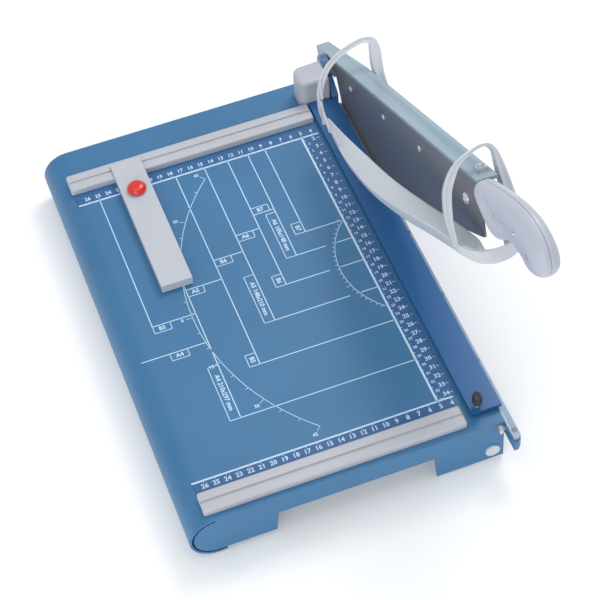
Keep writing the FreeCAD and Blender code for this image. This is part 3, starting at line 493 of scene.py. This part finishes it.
# ---------------------------------------------------------------- finger guard

# The tray's cross-sections: rim, foot and lip, from the rear along the left side, round the nose and back.
TRAY = [
    ((-36.2, -89, -23), (-35.7, -89, -28), (-31.5, -89, -27.5)),
    ((-41.5, -131, -29), (-41, -131, -35), (-30, -131, -31.8)),
    ((-46.5, -181, -33.5), (-45.5, -181, -40), (-27.5, -181, -35.8)),
    ((-48.5, -243, -35.5), (-46.5, -243, -44), (-24, -243, -40)),
    ((-44, -299, -36), (-41, -299, -47.5), (-16.5, -299, -44)),
    ((-35.5, -353, -36), (-31.5, -353, -49.5), (-8.5, -353, -46.5)),
    ((-28.5, -393, -37.5), (-24, -391, -52.5), (-4.5, -386, -49)),
    ((-20, -403, -44), (-17.5, -402, -57), (-4, -394, -53)),
    ((-8, -409, -48.5), (-7, -408, -60.5), (-2.5, -398, -56.5)),
    ((4.5, -410.5, -49.5), (4.5, -409.5, -61.5), (4.5, -399.5, -57.5)),
    ((17, -409, -48.5), (16, -408, -60.5), (11.5, -398, -56.5)),
    ((25, -403, -44), (23.5, -402, -57), (13, -394, -53)),
    ((30.5, -393, -37.5), (28.5, -391, -52.5), (13.5, -386, -49)),
    ((33.5, -353, -36), (31.5, -353, -49.5), (13.5, -353, -46.5)),
    ((35.5, -299, -36), (34, -299, -47.5), (14, -299, -44)),
    ((36, -243, -35.5), (35, -243, -44), (15, -243, -40)),
    ((35, -181, -33.5), (34, -181, -40), (18, -181, -35.8)),
    ((31.5, -131, -29), (31, -131, -35), (21, -131, -31.8)),
    ((27.6, -89, -23), (27.1, -89, -28), (22.5, -89, -27.5)),
]
# Hoops as (across, up) in a plane that leans back: the outer face, from the left foot over the top
# to the right.
LEAN = math.radians(20)
FRONT_HOOP = [(-29.2, -28), (-30.6, -13), (-30.2, -2), (-25.8, 16), (-18, 28), (-9, 35.5), (2, 40), (13, 43),
              (20.5, 42), (25, 36.5), (27.2, 26), (28.4, 12), (29.6, -6), (31.6, -28)]
REAR_HOOP = [(-39.2, -13), (-39.8, 2), (-37, 16), (-30, 29), (-20, 39.5), (-5, 47.5), (11, 52.2), (22, 52.5),
             (29, 49), (31.2, 39), (29.4, 26), (28, 12), (30.4, -13)]
FRONT_FOOT, REAR_FOOT = Vector((0, -391.1, -15.5)), Vector((0, -91.1, -15.5))
WALL = 2.2


def build_tray():
    """The dish under the blade: a folded wall with a beaded rim, following the tray's cross-sections."""
    rims, feet, lips = ([Vector(station[part]) for station in TRAY] for part in range(3))
    steps = 6
    grid = bmesh.new()
    rings = []
    for rim, foot, lip in zip(spline(rims, steps), spline(feet, steps), spline(lips, steps)):
        inward = Vector((lip.x - foot.x, lip.y - foot.y, 0)).normalized()
        up = Vector((0, 0, WALL))
        bead = rim + inward * (WALL + 0.5)
        corners = [rim, foot, lip, lip + up, foot + inward * WALL + up, bead - Vector((0, 0, 2.5)), bead]
        rings.append([ARM @ (point * MM) for point in section_ring(corners, 2.6)])
    loft(grid, rings)
    return piece("guard_dish", grid, "guard_grey", "guard", stands_for=("guard_tray",))


def band(name, path, widths, depths, leans, node, loop=False):
    """A moulded strip, grooved along both sides, on a path; each lean turns its width about the X axis."""
    steps = 8
    groove = 0.5
    points = spline(path, steps, loop=loop)
    sizes = spline(list(zip(widths, depths, leans)), steps, loop=loop)
    middle = sum(points, Vector()) / len(points)
    grid = bmesh.new()
    rings = []
    count = len(points)
    for index, (point, size) in enumerate(zip(points, sizes)):
        before = points[index - 1] if loop or index else point
        after = points[(index + 1) % count] if loop or index + 1 < count else point
        along = (after - before).normalized()
        across = Vector((0, math.cos(size.z), -math.sin(size.z)))
        across = (across - along * across.dot(along)).normalized()
        inward = across.cross(along).normalized()
        if inward.dot(middle - point) < 0:
            inward = -inward
        half, deep = size.x / 2, size.y
        corners = [(-half, 0), (half, 0), (half, deep * 0.3), (half - groove, deep * 0.4),
                   (half - groove, deep * 0.75), (half, deep * 0.85), (half, deep),
                   (-half, deep), (-half, deep * 0.85), (-half + groove, deep * 0.75),
                   (-half + groove, deep * 0.4), (-half, deep * 0.3)]
        ring = section_ring([Vector(corner).to_3d() for corner in corners], 1.1, 3)
        rings.append([ARM @ ((point + across * spot.x + inward * spot.y) * MM) for spot in ring])
    rows = loft(grid, rings, caps=not loop)
    if loop:
        near, far = rows[-1], rows[0]
        for index in range(len(near)):
            following = (index + 1) % len(near)
            grid.faces.new((near[index], near[following], far[following], far[index]))
    return piece(name, grid, "guard_grey", "guard", stands_for=(node,))


def leaning(foot, across, up):
    """A point of a hoop's plane, in the arm frame."""
    return foot + Vector((across, up * math.sin(LEAN), up * math.cos(LEAN)))


def build_hoops():
    front = [leaning(FRONT_FOOT, *point) for point in FRONT_HOOP]
    widths = [7, 6, 6, 6, 6.2, 7, 7.6, 7.8, 8.2, 8.8, 10.5, 12.5, 13.5, 13]
    depths = [3.4, 5.2, 6.6, 7, 6.4, 4.2, 2.7, 2.5, 2.8, 3.6, 6, 7.5, 8, 5]
    leans = [LEAN + 0.35, LEAN + 0.1] + [LEAN] * 10 + [LEAN + 0.1, LEAN + 0.35]
    nose = [(29.5, -403.5, -46.5), (22, -408.2, -52), (12, -411, -54.8), (4.5, -411.6, -55.4),
            (-4, -411.2, -55),
            (-14, -408.6, -52.6), (-23.5, -403.8, -47)]
    path = front + [Vector(point) for point in nose]
    widths += [12, 11.5, 12, 12, 12, 11.5, 9.5]
    depths += [2.6] * 7
    leans += [1.0, 1.35, 1.5, 1.55, 1.5, 1.35, 1.0]
    band("guard_hoop_front", path, widths, depths, leans, "guard_front_hoop", loop=True)
    rear = [leaning(REAR_FOOT, *point) for point in REAR_HOOP]
    widths = [7, 6.4, 6, 6, 6, 6.2, 6.6, 7, 7.8, 9, 10.5, 11.5, 12]
    depths = [3, 4.2, 5, 5.2, 5.2, 5.2, 5, 5, 7, 9.5, 9.8, 8, 4]
    band("guard_hoop_rear", rear, widths, depths, [LEAN] * len(rear), "guard_rear_hoop")
    edge = [(-43.2, -150, -29.6), (-40.2, -122, -26.4), (-37.6, -103, -19.5), (-36.6, -94.5, -10),
            (-35.2, -89, 0), (-32.6, -84.5, 11)]
    band("guard_side_edge", [Vector(point) for point in edge], [3.0, 3.8, 4.2, 4.2, 3.8, 2.8], [2.0] * 6,
         [1.35, 1.1, 0.8, 0.55, 0.45, 0.4], "guard_rear_hoop")


build_tray()
build_hoops()


# ---------------------------------------------------------------- small moulded and turned parts

def pillar(grid, place, outline, height, rise=3.5, draft=0.4):
    """An upright block on a rounded outline, with a soft top edge."""
    centre = sum(outline, Vector()) / len(outline)
    rings = [outline]
    steps = 7
    for step in range(steps + 1):
        turn = math.pi / 2 * step / steps
        inset = draft + rise * (1 - math.cos(turn))
        level = height - rise + rise * math.sin(turn)
        rings.append([point + (centre - point).normalized() * inset + Vector((0, 0, level))
                      for point in outline])
    rings.append([centre + (point - centre) * 0.6 + Vector((0, 0, height + 0.25)) for point in outline])
    rings.append([centre + (point - centre) * 0.25 + Vector((0, 0, height + 0.35)) for point in outline])
    loft(grid, [[place @ (point * MM) for point in ring] for ring in rings])


def build_cover():
    """The pivot's housing: large corners on its left, small ones beside the bracket."""
    low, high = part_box("pivot_cover")
    low, high = (low - ORIGIN) / MM, (high - ORIGIN) / MM
    corners = [((low.x, low.y), 8), ((high.x, low.y), 2.5), ((high.x, high.y), 2.5), ((low.x, high.y), 8)]
    outline = []
    for index, (corner, radius) in enumerate(corners):
        corner = Vector(corner).to_3d()
        before = (Vector(corners[index - 1][0]).to_3d() - corner).normalized() * radius
        after = (Vector(corners[(index + 1) % 4][0]).to_3d() - corner).normalized() * radius
        for step in range(9):
            turn = math.pi / 2 * step / 8
            outline.append(corner + before * (1 - math.sin(turn)) + after * (1 - math.cos(turn)))
    grid = bmesh.new()
    pillar(grid, TABLE, outline, high.z - 0.4, 4.0)
    return piece("pivot_housing", grid, "cover_grey", "base", stands_for=("pivot_cover",))


def islands(node):
    """The box of each separate solid of a CAD node, from its lowest Y up."""
    grid = bmesh.new()
    grid.from_mesh(frame["nodes"][node].data)
    bmesh.ops.remove_doubles(grid, verts=grid.verts, dist=1e-5)
    waiting = set(grid.verts)
    boxes = []
    while waiting:
        found = [waiting.pop()]
        for vert in found:
            for edge in vert.link_edges:
                other = edge.other_vert(vert)
                if other in waiting:
                    waiting.remove(other)
                    found.append(other)
        boxes.append(tuple(Vector([pick(vert.co[axis] for vert in found) for axis in range(3)])
                           for pick in (min, max)))
    grid.free()
    return sorted(boxes, key=lambda pair: (round(pair[0].y, 4), pair[0].x))


def dome(grid, spot, toward, radius, rise):
    """A rivet's round head standing on a point; toward is -1 for the left side or 1 for the right."""
    place = Matrix.Translation(spot) @ Matrix.Rotation(toward * math.pi / 2, 4, "Y")
    steps = 6
    profile = [(0, -0.4), (radius, -0.4), (radius, 0)]
    for step in range(1, steps + 1):
        turn = math.pi / 2 * step / steps
        profile.append((radius * math.cos(turn), rise * math.sin(turn)))
    lathe(grid, place, profile, 28)


def build_rivets():
    """Domed heads on the blade's and guard's rivets, and the blade's larger socket screw."""
    grid = bmesh.new()
    for low, high in islands("blade_rivets"):
        middle = (low + high) / 2
        dome(grid, Vector((low.x, middle.y, middle.z)), -1, 2.9, 0.8)
        dome(grid, Vector((high.x, middle.y, middle.z)), 1, 3.1, 1.0)
    piece("blade_rivet_heads", grid, "fastener_steel", "arm", stands_for=("blade_rivets",))
    grid = bmesh.new()
    for low, high in islands("guard_rivets"):
        middle = (low + high) / 2
        left = middle.x < KNIFE_HIGH.x
        dome(grid, Vector((low.x if left else high.x, middle.y, middle.z)), -1 if left else 1, 2.2, 0.8)
        dome(grid, Vector((high.x if left else low.x, middle.y, middle.z)), 1 if left else -1, 2.0, 0.7)
    piece("guard_rivet_heads", grid, "plug_white", "guard", stands_for=("guard_rivets",))
    grid = bmesh.new()
    low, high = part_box("blade_screw")
    middle = (low + high) / 2
    radius = (high.y - low.y) / 2 / MM
    place = Matrix.Translation(Vector((low.x, middle.y, middle.z))) @ Matrix.Rotation(math.pi / 2, 4, "Y")
    profile = [(0, 0.9), (1.5, 0.9), (1.9, 0.1), (3.1, 0.15), (4.3, 0.75), (radius - 0.1, 1.7), (radius, 2.4),
               (3, 2.4), (3, (high.x - low.x) / MM), (0, (high.x - low.x) / MM)]
    lathe(grid, place, profile, 40)
    piece("blade_screw_head", grid, "fastener_steel", "arm", stands_for=("blade_screw",))


def build_pin_knobs():
    """Black bullet-shaped caps over the bright guide pins."""
    grid = bmesh.new()
    for low, high in islands("clamp_pin_knobs"):
        radius, tall = (high.x - low.x) / 2 / MM, (high.z - low.z) / MM
        place = Matrix.Translation(Vector(((low.x + high.x) / 2, (low.y + high.y) / 2, low.z)))
        profile = [(0, 0), (radius - 0.9, 0), (radius - 0.3, 0.4), (radius, 1.1), (radius, tall * 0.45),
                   (radius - 0.35, tall * 0.5), (radius - 0.4, tall * 0.56), (radius - 0.15, tall * 0.6),
                   (radius - 0.5, tall * 0.72), (radius - 1.2, tall * 0.85), (radius - 2.3, tall * 0.95),
                   (radius - 3.5, tall * 0.99), (0, tall)]
        lathe(grid, place, profile, 40)
    piece("clamp_pin_caps", grid, "knob_black", "base", stands_for=("clamp_pin_knobs",))


def build_stop_rail(row):
    """A stop rail: two flat bands with a groove between them, soft edges and rounded ends."""
    low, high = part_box(f"{row}_stop_rail")
    low, high = (low - ORIGIN) / MM, (high - ORIGIN) / MM
    depth, tall = high.y - low.y, high.z - low.z
    middle = depth * 0.5
    corners = [(0, 0), (0, tall), (middle - 1.3, tall), (middle - 0.8, tall - 1.6),
               (middle + 0.8, tall - 1.6), (middle + 1.3, tall), (depth, tall), (depth, 0)]
    rounds = [0.2, 1.7, 0.4, 0.3, 0.3, 0.4, 1.7, 0.2]
    ring = []
    for index, corner in enumerate(corners):
        corner = Vector(corner).to_3d()
        before = (Vector(corners[index - 1]).to_3d() - corner).normalized() * rounds[index]
        after = (Vector(corners[(index + 1) % len(corners)]).to_3d() - corner).normalized() * rounds[index]
        for step in range(5):
            t = step / 4
            ring.append(corner + before * (1 - t) ** 2 + after * t * t)
    centre = Vector((depth / 2, tall / 2, 0))
    grid = bmesh.new()
    rings = []
    for along, inset in ((0, 1.5), (0.25, 0.8), (0.8, 0.3), (1.8, 0.0)):
        rings.append((low.x + along, inset))
    rings += [(low.x + (high.x - low.x) * share / 12, 0.0) for share in range(1, 12)]
    rings += [(high.x - along, inset) for along, inset in ((1.8, 0.0), (0.8, 0.3), (0.25, 0.8), (0, 1.5))]
    placed = []
    for x, inset in rings:
        row_ring = []
        for spot in ring:
            shift = Vector((math.copysign(min(inset, abs(spot.x - centre.x)), centre.x - spot.x),
                            -inset if spot.y > centre.y else 0, 0))
            moved = spot + shift
            row_ring.append(TABLE @ (Vector((x, low.y + moved.x, moved.y)) * MM))
        placed.append(row_ring)
    loft(grid, placed)
    piece(f"{row}_rail_moulding", grid, "rail_grey", "base", stands_for=(f"{row}_stop_rail",))


def centre_of(node):
    low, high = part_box(node)
    return (low + high) / 2, low, high


def build_knob():
    """The back stop's red button: a straight rim, a small step and a low crown."""
    middle, low, high = centre_of("back_stop_knob")
    place = Matrix.Translation(Vector((middle.x, middle.y, low.z)))
    radius = (high.x - low.x) / 2 / MM
    tall = (high.z - low.z) / MM
    profile = [(0, 0.05), (radius - 1, 0.05), (radius - 0.3, 0.3), (radius, 0.9), (radius, tall * 0.42),
               (radius - 0.25, tall * 0.5), (radius - 0.75, tall * 0.55), (radius - 0.95, tall * 0.62),
               (radius - 1.3, tall * 0.73), (radius - 2.2, tall * 0.85), (radius - 3.7, tall * 0.94),
               (radius - 5.6, tall * 0.985), (radius - 7.4, tall), (0, tall)]
    grid = bmesh.new()
    lathe(grid, place, profile, 64)
    return piece("back_stop_button", grid, "knob_red", "knob", stands_for=("back_stop_knob",))


build_rivets()
build_pin_knobs()
for rail_row in ("rear", "front"):
    build_stop_rail(rail_row)
build_cover()
build_knob()


# ---------------------------------------------------------------- camera, floor and light

def arrange_stage():
    """A pale floor, the camera at the photograph's angle, a soft world and three area lights."""
    floor = bmesh.new()
    far = 6.0
    corners = [Vector((x, y, -0.0002)) for x, y in ((-far, -far), (far, -far), (far, far), (-far, far))]
    floor.faces.new([floor.verts.new(corner) for corner in corners])
    mesh = bpy.data.meshes.new("floor")
    floor.to_mesh(mesh)
    floor.free()
    white = finish("floor_white", (0.9, 0.9, 0.9, 1), 0.8, grain=90, bump=0.0, tint=0.004, wear=0.0)
    glow = white.node_tree.nodes["Principled BSDF"]
    glow.inputs["Emission Color"].default_value = (1, 1, 1, 1)
    glow.inputs["Emission Strength"].default_value = 0.16
    mesh.materials.append(white)
    item = bpy.data.objects.new("floor", mesh)
    bpy.context.scene.collection.objects.link(item)

    camera = bpy.data.objects.new("camera", bpy.data.cameras.new("camera"))
    bpy.context.scene.collection.objects.link(camera)
    azimuth, elevation, roll = math.radians(16.390), math.radians(51.233), math.radians(4.997)
    forward = Vector((math.sin(azimuth) * math.cos(elevation), math.cos(azimuth) * math.cos(elevation),
                      -math.sin(elevation)))
    level = Vector((math.cos(azimuth), -math.sin(azimuth), 0))
    down = forward.cross(level)
    right = level * math.cos(roll) + down * math.sin(roll)
    up = right.cross(forward)
    turn = Matrix((right, up, -forward)).transposed().to_4x4()
    camera.matrix_world = Matrix.Translation(TABLE @ (Vector((-431.15, -1255.34, 1373.15)) * MM)) @ turn
    camera.data.lens = 120.06
    camera.data.sensor_width = 36
    camera.data.clip_end = 30
    bpy.context.scene.camera = camera

    world = bpy.data.worlds.new("studio")
    world.use_nodes = True
    world.node_tree.nodes["Background"].inputs["Color"].default_value = (0.93, 0.96, 1.0, 1)
    world.node_tree.nodes["Background"].inputs["Strength"].default_value = 0.62
    bpy.context.scene.world = world
    middle = Vector((0, 0, 0.08))
    for name, place, side, power in (("key", (1.0, 0.9, 1.8), 0.9, 17), ("fill", (-1.3, -2.0, 0.8), 1.8, 20),
                                     ("top", (-0.2, 0.0, 2.3), 1.6, 8)):
        light = bpy.data.objects.new(name, bpy.data.lights.new(name, "AREA"))
        light.data.size = side
        light.data.energy = power
        light.location = place
        light.rotation_euler = (middle - light.location).to_track_quat("-Z", "Y").to_euler()
        bpy.context.scene.collection.objects.link(light)
    bpy.context.scene.view_settings.view_transform = "Standard"


arrange_stage()
